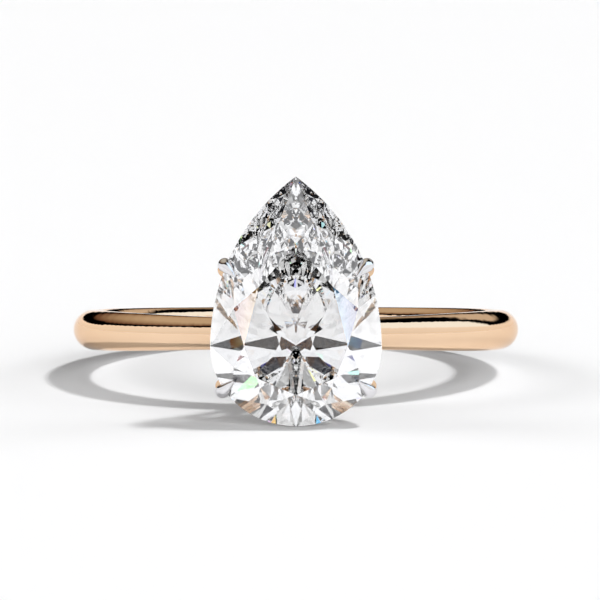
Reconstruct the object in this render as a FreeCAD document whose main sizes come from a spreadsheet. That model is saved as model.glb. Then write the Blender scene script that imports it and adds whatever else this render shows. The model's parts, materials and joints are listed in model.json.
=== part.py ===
"""Two-tone pear solitaire ring, lying on its side: rose metal band and basket, white claws.

The ring is drawn upright in the setting frame: X across the finger, Y along the finger towards
the point of the pear, Z up through the stone, origin at the centre of the bore. Every sub-part
then carries the same Placement, which lays the ring down so that the round end of the stone and
the back of the band both touch the ground plane.
"""

import FreeCAD, Part
import math
import os

import Sketcher

V = FreeCAD.Vector
TOL = 1e-4

# alias: value in millimetres, degrees or a plain ratio
DIMENSIONS = {
    "bore_radius": 8.5,
    "bore_stock": 0.005,
    "band_thickness": 1.6,
    "band_half_width": 0.89,
    "band_half_width_head": 0.64,
    "band_inner_corner": 0.55,
    "girdle_height": 13.7,
    "girdle_thickness": 0.22,
    "crown_height": 0.95,
    "crown_angle": 34.5,
    "pavilion_depth": 2.95,
    "star_reach": 0.70,
    "lower_half_reach": 0.787,
    "pear_half_width": 3.46,
    "pear_side_radius": 8.47,
    "pear_round_end": 3.24,
    "pear_centre_offset": -0.39,
    "rail_scale": 0.62,
    "rail_tip_radius": 0.5,
    "rail_wire_radius": 0.26,
    "rail_height": 12.1,
    "base_ring_radius": 1.12,
    "base_ring_wire": 0.30,
    "base_ring_height": 10.2,
    "prong_wire_radius": 0.29,
    "prong_set_back": 0.20,
    "prong_foot_height": 10.3,
    "prong_top_height": 13.45,
    "claw_radius": 0.29,
    "claw_length": 0.93,
    "upper_claw_x": 2.875,
    "upper_claw_y": 2.87,
    "upper_claw_aim": -47.0,
    "lower_claw_x": 2.97,
    "lower_claw_y": -2.215,
    "lower_claw_aim": 42.0,
}

# Outward normals, in degrees, of the eight main facets around the pear; 90 is the point.
POINT_NORMAL = 90.0
MAIN_NORMALS = (-90.0, -42.0, 0.0, 28.0, POINT_NORMAL, 152.0, 180.0, 222.0)

BAND_STEPS = 12


def make_sheet(doc):
    sheet = doc.addObject("Spreadsheet::Sheet", "dims")
    for row, (alias, value) in enumerate(DIMENSIONS.items(), start=1):
        sheet.set(f"A{row}", alias)
        sheet.set(f"B{row}", str(value))
        sheet.setAlias(f"B{row}", alias)
    doc.recompute()
    return sheet


def origin_plane(body, role):
    return next(item for item in body.Origin.OriginFeatures if item.Role == role)


def add_sketch(body, name, role, offset=None):
    sketch = body.newObject("Sketcher::SketchObject", name)
    sketch.AttachmentSupport = [(origin_plane(body, role), "")]
    sketch.MapMode = "FlatFace"
    if offset is not None:
        sketch.AttachmentOffset = offset
    return sketch


def constrain(sketch, expression, *arguments):
    """Adds a constraint whose value follows an expression of the sheet."""
    index = sketch.addConstraint(Sketcher.Constraint(*arguments))
    sketch.setExpression(f"Constraints[{index}]", expression)


def loft(body, name, sections):
    feature = body.newObject("PartDesign::AdditiveLoft", name)
    feature.Profile = sections[0]
    feature.Sections = sections[1:]
    for sketch in sections:
        sketch.Visibility = False
    return feature


def notch(doc, name, body, tools):
    """Cuts each tool out of a body; the last cut is the sub-part and takes its name."""
    result = body
    for number, tool in enumerate(tools, start=1):
        cut = doc.addObject("Part::Cut", f"{name}_cut{number}")
        cut.Base = result
        cut.Tool = tool
        result = cut
    result.Label = name
    return result


# --- band -------------------------------------------------------------------------------------


def band_section(body, sheet, number, angle):
    """One radial section at an angle round the bore, measured from the stone."""
    turn = math.radians(angle)
    radial = V(math.sin(turn), 0, math.cos(turn))
    stand = FreeCAD.Rotation(V(0, 1, 0), radial, V(0, 1, 0).cross(radial), "XYZ")
    sketch = add_sketch(body, f"section_{number}", "XY_Plane", FreeCAD.Placement(V(), stand))
    lift = max(0.0, math.cos(turn))
    shrink = (sheet.band_half_width - sheet.band_half_width_head) * lift**3
    half = sheet.band_half_width - shrink
    inner = sheet.bore_radius - sheet.bore_stock
    outer = sheet.bore_radius + sheet.band_thickness
    corner = sheet.band_inner_corner
    crest = outer - half
    geometry = [
        Part.LineSegment(V(half - corner, inner, 0), V(corner - half, inner, 0)),
        Part.ArcOfCircle(Part.Circle(V(corner - half, inner + corner, 0), V(0, 0, 1), corner),
                         math.pi, 1.5 * math.pi),
        Part.LineSegment(V(-half, inner + corner, 0), V(-half, crest, 0)),
        Part.ArcOfCircle(Part.Circle(V(0, crest, 0), V(0, 0, 1), half), 0, math.pi),
        Part.LineSegment(V(half, crest, 0), V(half, inner + corner, 0)),
        Part.ArcOfCircle(Part.Circle(V(half - corner, inner + corner, 0), V(0, 0, 1), corner),
                         1.5 * math.pi, 2 * math.pi),
    ]
    sketch.addGeometry(geometry, False)
    joints = ((0, 2, 1, 2), (1, 1, 2, 1), (2, 2, 3, 2), (3, 1, 4, 1), (4, 2, 5, 2), (5, 1, 0, 1))
    for first, end, second, start in joints:
        sketch.addConstraint(Sketcher.Constraint("Tangent", first, end, second, start))
    sketch.addConstraint(Sketcher.Constraint("Horizontal", 0))
    sketch.addConstraint(Sketcher.Constraint("Vertical", 2))
    sketch.addConstraint(Sketcher.Constraint("Equal", 1, 5))
    sketch.addConstraint(Sketcher.Constraint("PointOnObject", 3, 3, -2))
    constrain(sketch, "dims.band_inner_corner", "Radius", 1, corner)
    taper = f"(dims.band_half_width - dims.band_half_width_head) * {lift**3:.6f}"
    constrain(sketch, f"dims.band_half_width - {taper}", "Radius", 3, half)
    constrain(sketch, "dims.bore_radius - dims.bore_stock", "DistanceY", -1, 1, 0, 1, inner)
    rise = f"dims.bore_radius + dims.band_thickness - dims.band_half_width + {taper}"
    constrain(sketch, rise, "DistanceY", -1, 1, 3, 3, crest)
    return sketch


def make_shank(doc, sheet):
    """Round-backed band with eased inner corners, narrowing towards the setting.

    The lofted hoop is a little small inside, and the bore is then cut true through its stock.
    """
    body = doc.addObject("PartDesign::Body", "shank")
    step = 180.0 / BAND_STEPS
    sections = [band_section(body, sheet, number, number * step) for number in range(BAND_STEPS + 1)]
    half_hoop = loft(body, "half_hoop", sections)
    doc.recompute()
    hoop = body.newObject("PartDesign::Mirrored", "hoop")
    hoop.Originals = [half_hoop]
    hoop.MirrorPlane = (origin_plane(body, "YZ_Plane"), [""])
    body.Tip = hoop
    doc.recompute()
    bore = add_sketch(body, "bore_circle", "XZ_Plane")
    bore.addGeometry(Part.Circle(V(), V(0, 0, 1), sheet.bore_radius), False)
    bore.addConstraint(Sketcher.Constraint("Coincident", 0, 3, -1, 1))
    constrain(bore, "dims.bore_radius", "Radius", 0, sheet.bore_radius)
    pocket = body.newObject("PartDesign::Pocket", "finger_bore")
    pocket.Profile = bore
    pocket.Type = "ThroughAll"
    pocket.Midplane = True
    bore.Visibility = False
    doc.recompute()
    return body


# --- stone ------------------------------------------------------------------------------------


class Pear:
    """The girdle outline about the culet: half an ellipse below, two large arcs to the point."""

    def __init__(self, sheet):
        self.half_width = sheet.pear_half_width
        self.round_end = sheet.pear_round_end
        self.side_radius = sheet.pear_side_radius
        self.side_centre = sheet.pear_side_radius - sheet.pear_half_width
        self.point = math.sqrt(self.side_radius**2 - self.side_centre**2)
        self.last_normal = math.degrees(math.atan2(self.point, self.side_centre))

    def reach(self, normal):
        """Distance from the culet axis to the tangent with this outward normal."""
        contact = self.contact(normal)
        turn = math.radians(normal)
        return contact.x * math.cos(turn) + contact.y * math.sin(turn)

    def contact(self, normal):
        """Where the tangent with this outward normal touches the girdle."""
        turn = math.radians(normal)
        cosine = math.cos(turn)
        sine = math.sin(turn)
        if sine <= TOL:
            size = math.hypot(self.half_width * cosine, self.round_end * sine)
            return V(self.half_width**2 * cosine / size, self.round_end**2 * sine / size, 0)
        if self.last_normal < normal < 180.0 - self.last_normal:
            return V(0, self.point, 0)
        centre = -math.copysign(self.side_centre, cosine)
        return V(centre + self.side_radius * cosine, self.side_radius * sine, 0)

    def middle_contact(self, first, second):
        """The girdle point between two main facets, kept on the arcs beside the point."""
        low = min(first, self.last_normal) if first < 90.0 else max(first, 180.0 - self.last_normal)
        high = min(second, self.last_normal) if second <= 90.0 else second
        return self.contact((low + high) / 2)

    def corner(self, first, second):
        """Where the tangents with these two normals cross."""
        one = math.radians(first)
        two = math.radians(second)
        spread = math.sin(two - one)
        reach_one = self.reach(first)
        reach_two = self.reach(second)
        across = (reach_one * math.sin(two) - reach_two * math.sin(one)) / spread
        along = (reach_two * math.cos(one) - reach_one * math.cos(two)) / spread
        return V(across, along, 0)

    def wire(self):
        """The closed girdle outline, anticlockwise from the right side."""
        right = V(self.half_width, 0, 0)
        left = V(-self.half_width, 0, 0)
        tip = V(0, self.point, 0)
        turn = math.radians(self.last_normal / 2)
        bulge = V(self.side_radius * math.cos(turn) - self.side_centre,
                  self.side_radius * math.sin(turn), 0)
        side = Part.Arc(right, bulge, tip).toShape()
        other = Part.Arc(tip, V(-bulge.x, bulge.y, 0), left).toShape()
        ellipse = Part.Ellipse(V(), self.half_width, self.round_end)
        bottom = Part.ArcOfEllipse(ellipse, math.pi, 2 * math.pi).toShape()
        return Part.Wire([side, other, bottom])


def slice_off(shape, inside, points):
    """Cuts away everything beyond the plane of three points, keeping the side of `inside`."""
    normal = (points[1] - points[0]).cross(points[2] - points[0]).normalize()
    if (inside - points[0]).dot(normal) > 0:
        normal = normal * -1
    block = Part.makeBox(30, 30, 30, V(-15, -15, 0))
    block.Placement = FreeCAD.Placement(points[0], FreeCAD.Rotation(V(0, 0, 1), normal))
    return shape.cut(block)


def half_facets(pear, edge, apex, reach, skipped_main=None):
    """Mains plus the two half facets between each pair, for the crown or the pavilion."""
    planes = []
    count = len(MAIN_NORMALS)
    for index in range(count):
        first = MAIN_NORMALS[index]
        second = MAIN_NORMALS[(index + 1) % count]
        if second < first:
            second += 360.0
        ridge = pear.corner(first, second)
        low = V(ridge.x, ridge.y, edge)
        meet = low + (V(0, 0, apex) - low) * reach
        middle = pear.middle_contact(first, second) + V(0, 0, edge)
        for normal in (first, second):
            girdle = pear.contact(normal) + V(0, 0, edge)
            planes.append((meet, middle, girdle))
        if first == skipped_main:
            continue
        turn = math.radians(first)
        flat = V(-math.sin(turn), math.cos(turn), 0)
        girdle = pear.contact(first) + V(0, 0, edge)
        planes.append((girdle, girdle + flat, V(0, 0, apex)))
    return planes


def star_facets(pear, edge, apex, table, reach):
    """The small facets between the table's corners."""
    planes = []
    count = len(MAIN_NORMALS)
    share = (table - edge) / (apex - edge)
    for index in range(count):
        first = MAIN_NORMALS[index]
        second = MAIN_NORMALS[(index + 1) % count]
        if second < first:
            second += 360.0
        top = V(0, 0, apex)
        corners = []
        for normal in (first, second):
            girdle = pear.contact(normal) + V(0, 0, edge)
            corners.append(girdle + (top - girdle) * share)
        ridge = pear.corner(first, second)
        low = V(ridge.x, ridge.y, edge)
        planes.append((corners[0], corners[1], low + (top - low) * reach))
    return planes


def make_stone(doc, sheet):
    """Pear brilliant: a girdle prism sliced by the planes of its facets.

    Under the point the pavilion has no main facet: two half facets meet there in a keel.
    """
    pear = Pear(sheet)
    half = sheet.girdle_thickness / 2
    table = half + sheet.crown_height
    crown_apex = half + sheet.pear_half_width * math.tan(math.radians(sheet.crown_angle))
    culet = -half - sheet.pavilion_depth
    outline = pear.wire()
    outline.translate(V(0, 0, culet))
    shape = Part.Face(outline).extrude(V(0, 0, table - culet))
    star_reach = sheet.star_reach * sheet.crown_height / (crown_apex - half)
    planes = half_facets(pear, half, crown_apex, star_reach)
    planes += star_facets(pear, half, crown_apex, table, star_reach)
    planes += half_facets(pear, -half, culet, sheet.lower_half_reach, POINT_NORMAL)
    for points in planes:
        shape = slice_off(shape, V(0, 0, 0), points)
    shape.translate(V(0, sheet.pear_centre_offset, sheet.girdle_height))
    stone = doc.addObject("Part::Feature", "pear_stone")
    stone.Shape = shape.Solids[0]
    return stone


# --- basket -----------------------------------------------------------------------------------


def make_base_ring(doc, sheet):
    """Round wire ring that straddles the band under the stone."""
    body = doc.addObject("PartDesign::Body", "base_ring_wire")
    sketch = add_sketch(body, "wire_circle", "XZ_Plane")
    centre = V(sheet.base_ring_radius, sheet.base_ring_height, 0)
    sketch.addGeometry(Part.Circle(centre, V(0, 0, 1), sheet.base_ring_wire), False)
    constrain(sketch, "dims.base_ring_wire", "Radius", 0, sheet.base_ring_wire)
    constrain(sketch, "dims.base_ring_radius", "DistanceX", -1, 1, 0, 3, centre.x)
    constrain(sketch, "dims.base_ring_height", "DistanceY", -1, 1, 0, 3, centre.y)
    ring = body.newObject("PartDesign::Revolution", "wire_ring")
    ring.Profile = sketch
    ring.ReferenceAxis = (sketch, ["V_Axis"])
    ring.Angle = 360
    sketch.Visibility = False
    doc.recompute()
    return body


def make_gallery_rail(doc, sheet):
    """Pear-shaped wire rail under the girdle, its point eased by a small arc."""
    body = doc.addObject("PartDesign::Body", "gallery_rail")
    scale = sheet.rail_scale
    half = sheet.pear_half_width * scale
    side = sheet.pear_side_radius * scale
    tip = sheet.rail_tip_radius
    tip_height = math.sqrt((side - tip) ** 2 - (side - half) ** 2)
    lift = FreeCAD.Placement(V(0, 0, sheet.rail_height), FreeCAD.Rotation())
    path = add_sketch(body, "rail_path", "XY_Plane", lift)
    path.setExpression("AttachmentOffset.Base.z", "dims.rail_height")
    base = sheet.pear_centre_offset
    lean = math.atan2(tip_height, side - half)
    arcs = [
        (V(0, base, 0), half, math.pi, 2 * math.pi),
        (V(half - side, base, 0), side, 0, lean),
        (V(0, base + tip_height, 0), tip, lean, math.pi - lean),
        (V(side - half, base, 0), side, math.pi - lean, math.pi),
    ]
    for centre, radius, start, end in arcs:
        circle = Part.Circle(centre, V(0, 0, 1), radius)
        path.addGeometry(Part.ArcOfCircle(circle, start, end), False)
    for first, second in ((0, 1), (1, 2), (2, 3), (3, 0)):
        path.addConstraint(Sketcher.Constraint("Tangent", first, 2, second, 1))
    path.addConstraint(Sketcher.Constraint("PointOnObject", 0, 3, -2))
    path.addConstraint(Sketcher.Constraint("PointOnObject", 2, 3, -2))
    path.addConstraint(Sketcher.Constraint("Horizontal", 0, 3, 0, 2))
    path.addConstraint(Sketcher.Constraint("Equal", 1, 3))
    constrain(path, "dims.pear_half_width * dims.rail_scale", "Radius", 0, half)
    constrain(path, "dims.pear_side_radius * dims.rail_scale", "Radius", 1, side)
    constrain(path, "dims.rail_tip_radius", "Radius", 2, tip)
    constrain(path, "-dims.pear_centre_offset", "DistanceY", 0, 3, -1, 1, -base)
    section = add_sketch(body, "rail_section", "YZ_Plane")
    centre = V(base - half, sheet.rail_height, 0)
    section.addGeometry(Part.Circle(centre, V(0, 0, 1), sheet.rail_wire_radius), False)
    constrain(section, "dims.rail_wire_radius", "Radius", 0, sheet.rail_wire_radius)
    reach = "dims.pear_half_width * dims.rail_scale - dims.pear_centre_offset"
    constrain(section, reach, "DistanceX", 0, 3, -1, 1, half - base)
    constrain(section, "dims.rail_height", "DistanceY", -1, 1, 0, 3, sheet.rail_height)
    pipe = body.newObject("PartDesign::AdditivePipe", "rail_wire")
    pipe.Profile = section
    pipe.Spine = (path, [])
    path.Visibility = False
    section.Visibility = False
    doc.recompute()
    return body


def bent_wire(doc, name, stations):
    """A wire lofted through circles; a station is its centre, its direction and its radius."""
    body = doc.addObject("PartDesign::Body", name)
    sections = []
    for number, (centre, direction, expression, radius) in enumerate(stations):
        turn = FreeCAD.Rotation(V(0, 0, 1), direction)
        offset = FreeCAD.Placement(centre, turn)
        sketch = add_sketch(body, f"{name}_station_{number}", "XY_Plane", offset)
        sketch.addGeometry(Part.Circle(V(), V(0, 0, 1), radius), False)
        sketch.addConstraint(Sketcher.Constraint("Coincident", 0, 3, -1, 1))
        constrain(sketch, expression, "Radius", 0, radius)
        sections.append(sketch)
    loft(body, f"{name}_wire", sections)
    doc.recompute()
    return body


def slanted(heading, angle):
    """A direction leaning away from vertical by an angle towards a level heading."""
    lean = math.radians(angle)
    return heading * math.sin(lean) + V(0, 0, math.cos(lean))


def make_prong(doc, sheet, name, top):
    """Prong wire: springs from the base ring, leans outwards, straightens under the claw."""
    foot = sheet.prong_foot_height
    crest = sheet.prong_top_height
    radius = sheet.prong_wire_radius
    heading = V(top.x, top.y, 0).normalize()
    start = sheet.base_ring_radius
    reach = math.hypot(top.x, top.y) - start
    # share of the way out, share of the way up, lean of the wire from vertical
    route = ((0.0, 0.0, 46.0), (0.34, 0.32, 48.0), (0.68, 0.60, 46.0), (0.92, 0.84, 32.0),
             (1.0, 1.0, 0.0))
    stations = []
    for out, rise, angle in route:
        centre = heading * (start + out * reach) + V(0, 0, foot + rise * (crest - foot))
        stations.append((centre, slanted(heading, angle), "dims.prong_wire_radius", radius))
    return bent_wire(doc, name, stations)


def make_claw(doc, sheet, name, root, aim, mirror):
    """Talon: a round-backed tip that bends over the crown and draws out to a point."""
    turn = math.radians(aim)
    heading = V(-mirror * math.cos(turn), math.sin(turn), 0)
    crest = sheet.prong_top_height
    radius = sheet.claw_radius
    length = sheet.claw_length - radius
    # share of the way in, height above the prong's top, lean, share of the full radius
    route = ((0.0, 0.0, 0.0, 1.0), (0.0, 0.28, 8.0, 1.0), (0.10, 0.52, 42.0, 0.95),
             (0.38, 0.68, 62.0, 0.72), (0.72, 0.85, 60.0, 0.40), (1.0, 0.985, 56.0, 0.12))
    stations = []
    for inward, rise, angle, share in route:
        centre = root + heading * (inward * length) + V(0, 0, crest + rise)
        expression = f"dims.claw_radius * {share}"
        stations.append((centre, slanted(heading, angle), expression, radius * share))
    return bent_wire(doc, name, stations)


# --- resting pose ------------------------------------------------------------------------------


def resting_placement(sheet):
    """Lays the ring on its side, touching the ground at the stone's round end and the back."""
    low_y = sheet.pear_centre_offset - sheet.pear_round_end
    low_z = sheet.girdle_height - sheet.girdle_thickness / 2
    back_radius = sheet.band_half_width
    outer = sheet.bore_radius + sheet.band_thickness
    back_z = outer - back_radius
    span = math.hypot(low_y, low_z + back_z)
    lean = math.acos(back_radius / span) - math.atan2(low_z + back_z, -low_y)
    lift = -low_y * math.cos(lean) - low_z * math.sin(lean)
    front = sheet.girdle_height + sheet.girdle_thickness / 2 + sheet.crown_height
    shift = (front - outer) / 2 * math.cos(lean)
    turn = FreeCAD.Rotation(V(1, 0, 0), 90.0 - math.degrees(lean))
    return FreeCAD.Placement(V(0, shift, lift), turn)


def main():
    os.makedirs("parts", exist_ok=True)
    doc = FreeCAD.newDocument("solitaire")
    sheet = make_sheet(doc)
    shank = make_shank(doc, sheet)
    stone = make_stone(doc, sheet)
    rail = make_gallery_rail(doc, sheet)
    ring_wire = make_base_ring(doc, sheet)
    bodies = [shank, stone, rail, ring_wire]
    prongs = []
    claws = []
    for level in ("upper", "lower"):
        across = getattr(sheet, f"{level}_claw_x")
        along = getattr(sheet, f"{level}_claw_y")
        aim = getattr(sheet, f"{level}_claw_aim")
        for side, mirror in (("left", -1), ("right", 1)):
            root = V(mirror * across, along, 0)
            top = root - V(0, math.copysign(sheet.prong_set_back, along), 0)
            prong = make_prong(doc, sheet, f"prong_wire_{level}_{side}", top)
            claw = make_claw(doc, sheet, f"claw_blank_{level}_{side}", root, aim, mirror)
            prongs.append((f"prong_{level}_{side}", prong))
            claws.append((f"claw_{level}_{side}", claw))
            bodies += [prong, claw]
    placement = resting_placement(sheet)
    for body in bodies:
        body.Placement = placement.multiply(body.Placement)
    base_ring = notch(doc, "base_ring", ring_wire, [shank])
    parts = [shank, stone, rail, base_ring]
    for name, prong in prongs:
        parts.append(notch(doc, name, prong, [stone, rail, base_ring, shank]))
    for name, claw in claws:
        parts.append(notch(doc, name, claw, [stone]))
    doc.recompute()

    for item in doc.Objects:
        if {"Invalid", "Error"} & set(item.State):
            raise RuntimeError(f"{item.Name}: {item.State}")
    for part in parts:
        shape = part.Shape
        if shape.isNull() or not shape.isValid() or len(shape.Solids) != 1:
            raise RuntimeError(f"{part.Label}: {len(shape.Solids)} solids, bad shape")
    for part in parts:
        part.Shape.exportStep(f"parts/{part.Label}.step")
        box = part.Shape.BoundBox
        print(f"{part.Label:20s} {part.Shape.Volume:9.3f} mm3  y {box.YMin:.2f}..{box.YMax:.2f}"
              f"  z {box.ZMin:.2f}..{box.ZMax:.2f}")


main()
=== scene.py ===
"""Two-tone pear solitaire ring on a white floor: looks, studio and camera."""

import colorsys
import json
import math

import bpy
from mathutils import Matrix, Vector

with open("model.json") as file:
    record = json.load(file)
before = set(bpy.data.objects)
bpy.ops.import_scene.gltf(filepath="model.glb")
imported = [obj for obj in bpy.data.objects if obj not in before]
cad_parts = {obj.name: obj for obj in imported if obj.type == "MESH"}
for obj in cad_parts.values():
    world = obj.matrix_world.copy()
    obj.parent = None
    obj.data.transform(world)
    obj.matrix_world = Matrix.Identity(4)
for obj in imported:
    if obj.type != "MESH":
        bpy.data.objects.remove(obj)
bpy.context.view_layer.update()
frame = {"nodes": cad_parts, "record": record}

MM = 0.001
BORE = frame["record"]["mounts"][0]
RING_CENTRE = Vector(BORE["pos_m"])

# --- camera, as the photographer stood --------------------------------------------------------
CAMERA_ELEVATION = 8.04
CAMERA_DISTANCE = 120 * MM
PIXELS_PER_MM = 21.95
IMAGE_SIDE = 600
SENSOR = 36.0
RING_BELOW_MIDDLE = 1.323 * MM
RING_LEFT_OF_MIDDLE = 0.185 * MM

# --- studio: floor, fill and lamps ------------------------------------------------------------
FLOOR_SIDE = 4.0
FLOOR_COLOUR = (0.86, 0.86, 0.865)
FLOOR_ROUGHNESS = 0.75
FILL = 0.07
# Painted shade: the grey that diffuse rays see on the metal, so the light and shade it throws on the
# floor are neutral grey and not rose.
PAINTED_SPILL_GREY = (0.22, 0.22, 0.23)
LAMPS = (  # name, where it shines from, strength, width in degrees
    ("key", (0.46, 0.06, 0.88), 2.00, 9.0),
    ("front_right", (0.42, -0.80, 0.40), 1.70, 45.0),
    ("front_left", (-0.50, -0.70, 0.40), 0.50, 45.0),
    ("right_low", (0.86, 0.20, 0.45), 0.75, 30.0),
    ("left_low", (-0.85, 0.15, 0.48), 1.00, 30.0),
)

# --- cards that the metal mirrors: heights and sides of a direction of length one -------------
SOFT_EDGE = 0.05
FAR = 3.0
WALL_TOP = 0.47
WALL_TILT = 0.40
WALL_FOOT = 0.8
WALL_MIDDLE = 0.98
WALL_BRIGHT = 1.08
WARM_DIM = (0.17, 0.10, 0.07)
WARM_MIDDLE = (0.43, 0.36, 0.27)
WARM_BRIGHT = (0.56, 0.50, 0.40)
RIGHT_SIDE = 0.12
RIGHT_BLEND = 0.18
BOX_OVERLAP = 0.07
BOX_HEIGHT = 0.80
BOX_LEAN = 0.9
BOX_BACK = 0.55
BOX_LIGHT = (1.05, 1.25, 1.45)
GLOW_LOW = 0.30
GLOW_HIGH = 0.58
GLOW_FRONT = 0.72
GLOW_LIGHT = (0.66, 0.62, 0.56)
BACK_TOP = 0.06
BACK_FRONT = 0.9

# --- cards that the stone gathers: turns and rises in degrees, seen from the ring -------------
LENS_WAY = (0.0, -0.99, 0.14)
LENS_GAP = 12.0
FRONT_TURN = 70.0
FRONT_RISE = (-12.0, 80.0)
FRONT_WHITE = (1.12, 1.13, 1.16)
BAR_GREY = (0.04, 0.04, 0.05)
BAR_WIDTH = 9.0
BAR_STEP = 23.0
BAR_PAIRS = 3
LOW_BAR = (-10.0, 34.0)
HIGH_BAR = (46.0, 60.0)
FIRE_CARDS = 6
FIRE_STEP = 24.0
FIRE_SIZE = 7.0
FIRE_RISE = 40.0
FIRE_SATURATION = 0.5
FIRE_STRENGTH = 1.5
FRINGE = 0.35
PRISM_EDGE = 0.008
MOTTLE_SCALE = 3.0
MOTTLE_EDGE = (0.47, 0.50)
MOTTLE_DARK = 0.02
MOTTLE_PALE = 0.75

# --- finishes ---------------------------------------------------------------------------------
TONE_SCALE = 260.0
WEAR_SHARPNESS = 8.0
WEAR_START = -4.2
SWIRL_DEPTH = 0.01 * MM
SWIRL_STRENGTH = 0.03
DIAMOND_IOR = 2.417
LIGHT_BOUNCES = 40
MIRROR_BOUNCES = 16


# --- node helpers -----------------------------------------------------------------------------


class Nodes:
    """Builds one node tree: add() makes a node, sets its values and links its inputs."""

    def __init__(self, tree):
        self.tree = tree
        tree.nodes.clear()

    def add(self, kind, values=None, links=None, **settings):
        node = self.tree.nodes.new(kind)
        for name, value in settings.items():
            setattr(node, name, value)
        for name, value in (values or {}).items():
            node.inputs[name].default_value = value
        for name, socket in (links or {}).items():
            self.tree.links.new(socket, node.inputs[name])
        return node

    def maths(self, operation, first, second=0.5, third=0.5, clamp=False):
        node = self.add("ShaderNodeMath", operation=operation, use_clamp=clamp)
        for index, value in enumerate((first, second, third)):
            if isinstance(value, bpy.types.NodeSocket):
                self.tree.links.new(value, node.inputs[index])
            else:
                node.inputs[index].default_value = value
        return node.outputs[0]

    def ramp(self, factor, stops):
        node = self.add("ShaderNodeValToRGB", links={"Fac": factor})
        ramp = node.color_ramp
        while len(ramp.elements) < len(stops):
            ramp.elements.new(0.5)
        for element, (place, colour) in zip(ramp.elements, stops):
            element.position = place
            element.color = (*colour, 1.0)
        return node.outputs["Color"]


def window(nodes, value, low, high, soft=SOFT_EDGE):
    """One between two limits and nothing outside them, with soft edges."""
    masks = []
    for start, end in ((low - soft, low + soft), (high + soft, high - soft)):
        step = nodes.add("ShaderNodeMapRange", {"From Min": start, "From Max": end},
                         {"Value": value}, interpolation_type="SMOOTHSTEP")
        masks.append(step.outputs[0])
    return nodes.maths("MULTIPLY", *masks)


def lay_over(nodes, below, mask, colour):
    mix = nodes.add("ShaderNodeMix", links={"Factor": mask}, data_type="RGBA")
    nodes.tree.links.new(below, mix.inputs[6])
    mix.inputs[7].default_value = (*colour, 1.0)
    return mix.outputs[2]


def grey(level):
    return (level, level, level)


BLACK = grey(0.0)
WHITE = grey(1.0)


def new_material(name):
    material = bpy.data.materials.new(name)
    material.use_nodes = True
    return material, Nodes(material.node_tree)


# --- materials --------------------------------------------------------------------------------


def polished_metal(name, light, deep, edge_tint, roughness, swirl_scale, wear_roughness):
    """Hand-polished precious metal: faint alloy tone, hairline swirls and softly worn edges; diffuse
    rays see a painted neutral grey in place of its colour, so the shade and bounce light it throws on
    the floor are grey.
    """
    material, nodes = new_material(name)
    place = nodes.add("ShaderNodeTexCoord").outputs["Object"]
    tone = nodes.add("ShaderNodeTexNoise", {"Scale": TONE_SCALE, "Detail": 3.0}, {"Vector": place})
    colour = nodes.ramp(tone.outputs["Fac"], [(0.3, deep), (0.7, light)])
    # Painted shade: to diffuse rays the metal is neutral grey, which greys the shade and bounce light
    # it throws on the floor.
    painted_spill_mask = nodes.add("ShaderNodeLightPath").outputs["Is Diffuse Ray"]
    colour = lay_over(nodes, colour, painted_spill_mask, PAINTED_SPILL_GREY)
    swirls = nodes.add("ShaderNodeTexNoise",
                       {"Scale": swirl_scale, "Detail": 4.0, "Distortion": 1.5}, {"Vector": place})
    edge = nodes.add("ShaderNodeNewGeometry").outputs["Pointiness"]
    worn = nodes.maths("MULTIPLY_ADD", edge, WEAR_SHARPNESS, WEAR_START, clamp=True)
    haze = nodes.maths("MULTIPLY_ADD", swirls.outputs["Fac"], roughness, roughness * 0.5)
    rough = nodes.maths("MULTIPLY_ADD", worn, wear_roughness, haze)
    bump = nodes.add("ShaderNodeBump", {"Strength": SWIRL_STRENGTH, "Distance": SWIRL_DEPTH},
                     {"Height": swirls.outputs["Fac"]})
    shader = nodes.add("ShaderNodeBsdfPrincipled",
                       {"Metallic": 1.0, "Specular Tint": (*edge_tint, 1.0)},
                       {"Base Color": colour, "Roughness": rough, "Normal": bump.outputs[0]})
    nodes.add("ShaderNodeOutputMaterial", links={"Surface": shader.outputs[0]})
    return material


def diamond():
    """Clear, colourless brilliant."""
    material, nodes = new_material("diamond")
    glass = nodes.add("ShaderNodeBsdfGlass",
                      {"Color": (1.0, 1.0, 1.0, 1.0), "IOR": DIAMOND_IOR, "Roughness": 0.0})
    nodes.add("ShaderNodeOutputMaterial", links={"Surface": glass.outputs[0]})
    return material


def floor_material():
    """Plain pale floor."""
    material, nodes = new_material("floor_white")
    shader = nodes.add("ShaderNodeBsdfPrincipled",
                       {"Base Color": (*FLOOR_COLOUR, 1.0), "Roughness": FLOOR_ROUGHNESS})
    nodes.add("ShaderNodeOutputMaterial", links={"Surface": shader.outputs[0]})
    return material


# --- studio -----------------------------------------------------------------------------------


def card(nodes, below, limits, colour, mask=None):
    """Lays a soft-edged card over what is below it, between limits and within any mask."""
    for value, low, high in limits:
        edge = window(nodes, value, low, high)
        mask = edge if mask is None else nodes.maths("MULTIPLY", mask, edge)
    return lay_over(nodes, below, mask, colour)


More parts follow.
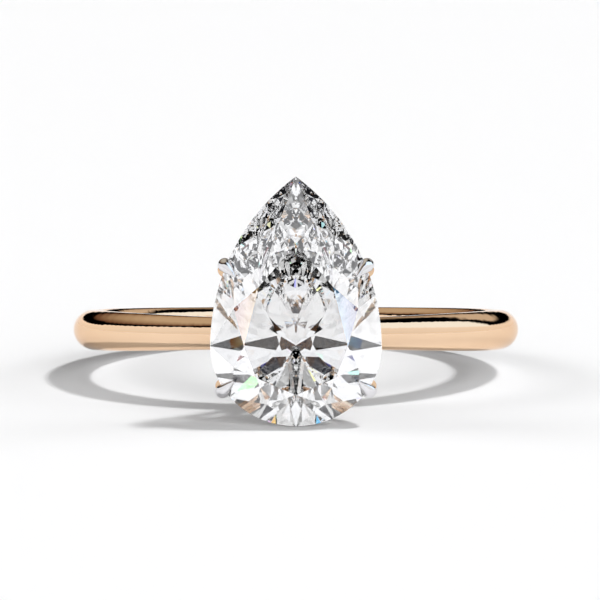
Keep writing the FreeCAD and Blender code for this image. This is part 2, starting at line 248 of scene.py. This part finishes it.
def metal_cards(nodes, way):
    """What the polished metal mirrors: pale walls, tall in front and low behind, under a black gap
    and a warm ceiling, with a soft box and a pale card on the right and a low pale card at the back."""
    parts = nodes.add("ShaderNodeSeparateXYZ", links={"Vector": way}).outputs
    height = parts["Z"]
    squared = nodes.maths("MULTIPLY", height, height)
    level = nodes.maths("SQRT", nodes.maths("SUBTRACT", 1.0001, squared))  # never quite zero
    behind = nodes.maths("DIVIDE", parts["Y"], level)
    wall = nodes.maths("MULTIPLY_ADD", behind, -WALL_TILT, WALL_TOP)
    above = nodes.maths("SUBTRACT", height, wall)
    light = nodes.ramp(nodes.maths("MULTIPLY_ADD", above, 0.5, 0.5),
                       [(0.0, grey(WALL_FOOT)), (0.46, grey(WALL_MIDDLE)),
                        (0.497, grey(WALL_BRIGHT)), (0.503, BLACK), (0.57, BLACK),
                        (0.60, WARM_DIM), (0.68, WARM_MIDDLE), (0.76, WARM_BRIGHT)])
    right = window(nodes, parts["X"], RIGHT_SIDE, FAR, RIGHT_BLEND)
    box_top = nodes.maths("MULTIPLY_ADD", behind, BOX_LEAN, above)
    light = card(nodes, light, ((above, 0.0, FAR),), BLACK, right)
    box = ((above, -BOX_OVERLAP, FAR), (box_top, -FAR, BOX_HEIGHT), (behind, -FAR, BOX_BACK))
    light = card(nodes, light, box, BOX_LIGHT, right)
    glow = ((height, GLOW_LOW, GLOW_HIGH), (behind, GLOW_FRONT, FAR))
    light = card(nodes, light, glow, GLOW_LIGHT, right)
    return card(nodes, light, ((height, -FAR, BACK_TOP), (behind, BACK_FRONT, FAR)), WHITE)


def prism_card(nodes, below, limits, colour, fringe=FRINGE):
    """Lays a card over what is below it, its red and blue edges a little to each side."""
    layers = nodes.add("ShaderNodeSeparateColor", links={"Color": below}).outputs
    mixed = {}
    for name, level, offset in zip(("Red", "Green", "Blue"), colour, (-fringe, 0.0, fringe)):
        mask = None
        for value, low, high in limits:
            edge = window(nodes, value, math.radians(low + offset), math.radians(high + offset),
                          PRISM_EDGE)
            mask = edge if mask is None else nodes.maths("MULTIPLY", mask, edge)
        mix = nodes.add("ShaderNodeMix", {3: level}, {0: mask, 2: layers[name]}, data_type="FLOAT")
        mixed[name] = mix.outputs[0]
    return nodes.add("ShaderNodeCombineColor", links=mixed).outputs[0]


def stone_cards(nodes, way):
    """What the stone gathers: a white front crossed by an even row of dark bars, with a dark gap
    round the lens, a row of coloured cards for its fire, and mottled light further round."""
    parts = nodes.add("ShaderNodeSeparateXYZ", links={"Vector": way}).outputs
    turn = nodes.maths("ARCTAN2", parts["X"], nodes.maths("MULTIPLY", parts["Y"], -1.0))
    rise = nodes.maths("ARCSINE", parts["Z"])
    towards = nodes.add("ShaderNodeVectorMath", {1: LENS_WAY}, {0: way}, operation="DOT_PRODUCT")
    off_axis = nodes.maths("ARCCOSINE", towards.outputs["Value"])
    mottle = nodes.add("ShaderNodeTexNoise", {"Scale": MOTTLE_SCALE, "Detail": 1.0}, {"Vector": way})
    light = nodes.ramp(mottle.outputs["Fac"], [(MOTTLE_EDGE[0], grey(MOTTLE_DARK)),
                                               (MOTTLE_EDGE[1], grey(MOTTLE_PALE))])
    light = prism_card(nodes, light, ((turn, -FRONT_TURN, FRONT_TURN), (rise, *FRONT_RISE)),
                       FRONT_WHITE, 0.0)
    for step in range(-BAR_PAIRS, BAR_PAIRS + 1):
        middle = step * BAR_STEP
        low, high = HIGH_BAR if step % 2 else LOW_BAR
        limits = ((turn, middle - BAR_WIDTH / 2, middle + BAR_WIDTH / 2), (rise, low, high))
        light = prism_card(nodes, light, limits, BAR_GREY)
    for index in range(FIRE_CARDS):
        turned = (index - (FIRE_CARDS - 1) / 2) * FIRE_STEP
        hue = colorsys.hsv_to_rgb(index / FIRE_CARDS, FIRE_SATURATION, FIRE_STRENGTH)
        limits = ((turn, turned, turned + FIRE_SIZE), (rise, FIRE_RISE, FIRE_RISE + FIRE_SIZE))
        light = prism_card(nodes, light, limits, hue)
    return prism_card(nodes, light, ((off_axis, -LENS_GAP, LENS_GAP),), BLACK, 0.0)


def studio_world():
    """White backdrop, even fill on the floor, and a set of cards each for the metal and the stone."""
    world = bpy.data.worlds.new("studio")
    world.use_nodes = True
    nodes = Nodes(world.node_tree)
    way = nodes.add("ShaderNodeTexCoord").outputs["Generated"]
    path = nodes.add("ShaderNodeLightPath").outputs
    layers = ((None, {"Color": metal_cards(nodes, way)}, 1.0),
              (path["Is Singular Ray"], {"Color": stone_cards(nodes, way)}, 1.0),
              (path["Is Diffuse Ray"], {}, FILL),
              (path["Is Camera Ray"], {}, 1.0))
    shader = None
    for chooser, links, strength in layers:
        light = nodes.add("ShaderNodeBackground", {"Color": (1, 1, 1, 1), "Strength": strength},
                          links).outputs[0]
        if chooser is None:
            shader = light
            continue
        mix = nodes.add("ShaderNodeMixShader", links={"Fac": chooser})
        nodes.tree.links.new(shader, mix.inputs[1])
        nodes.tree.links.new(light, mix.inputs[2])
        shader = mix.outputs[0]
    nodes.add("ShaderNodeOutputWorld", links={"Surface": shader})
    bpy.context.scene.world = world


def lamp(name, direction, strength, angle):
    """A distant soft light that shines from a direction; metal and stone show cards instead."""
    light = bpy.data.lights.new(name, "SUN")
    light.energy = strength
    light.angle = math.radians(angle)
    obj = bpy.data.objects.new(name, light)
    bpy.context.scene.collection.objects.link(obj)
    obj.rotation_mode = "QUATERNION"
    obj.rotation_quaternion = Vector(direction).to_track_quat("Z", "Y")
    obj.visible_glossy = False
    obj.visible_transmission = False


def make_floor():
    bpy.ops.mesh.primitive_plane_add(size=FLOOR_SIDE, location=(0, 0, 0))
    floor = bpy.context.object
    floor.name = "floor"
    floor.data.materials.append(floor_material())


def make_camera():
    lens = PIXELS_PER_MM * (CAMERA_DISTANCE / MM) / IMAGE_SIDE * SENSOR
    camera = bpy.data.cameras.new("camera")
    camera.sensor_width = SENSOR
    camera.lens = lens
    camera.clip_start = 0.005
    camera.clip_end = 10.0
    obj = bpy.data.objects.new("camera", camera)
    bpy.context.scene.collection.objects.link(obj)
    rise = math.radians(CAMERA_ELEVATION)
    back = Vector((0, -math.cos(rise), math.sin(rise)))
    up = Vector((0, math.sin(rise), math.cos(rise)))
    obj.location = RING_CENTRE + back * CAMERA_DISTANCE
    target = RING_CENTRE + up * RING_BELOW_MIDDLE + Vector((RING_LEFT_OF_MIDDLE, 0, 0))
    obj.rotation_mode = "QUATERNION"
    obj.rotation_quaternion = (target - obj.location).to_track_quat("-Z", "Y")
    bpy.context.scene.camera = obj


# --- the ring ---------------------------------------------------------------------------------


def finish_nodes():
    """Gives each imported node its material."""
    rose = polished_metal("rose_gold", (0.90, 0.645, 0.44), (0.87, 0.615, 0.41),
                          (0.93, 0.82, 0.72), 0.04, 5200.0, 0.10)
    white = polished_metal("white_metal", (0.84, 0.83, 0.85), (0.78, 0.77, 0.79),
                           (0.80, 0.80, 0.80), 0.04, 6000.0, 0.08)
    stone = diamond()
    for name, node in frame["nodes"].items():
        if name == "pear_stone":
            material = stone
        elif name.startswith("claw"):
            material = white
        else:
            material = rose
        for slot in node.material_slots:
            slot.material = material


finish_nodes()
studio_world()
for settings in LAMPS:
    lamp(*settings)
make_floor()
make_camera()

scene = bpy.context.scene
scene.view_settings.view_transform = "Standard"
scene.cycles.max_bounces = LIGHT_BOUNCES
scene.cycles.glossy_bounces = MIRROR_BOUNCES
scene.cycles.transmission_bounces = LIGHT_BOUNCES
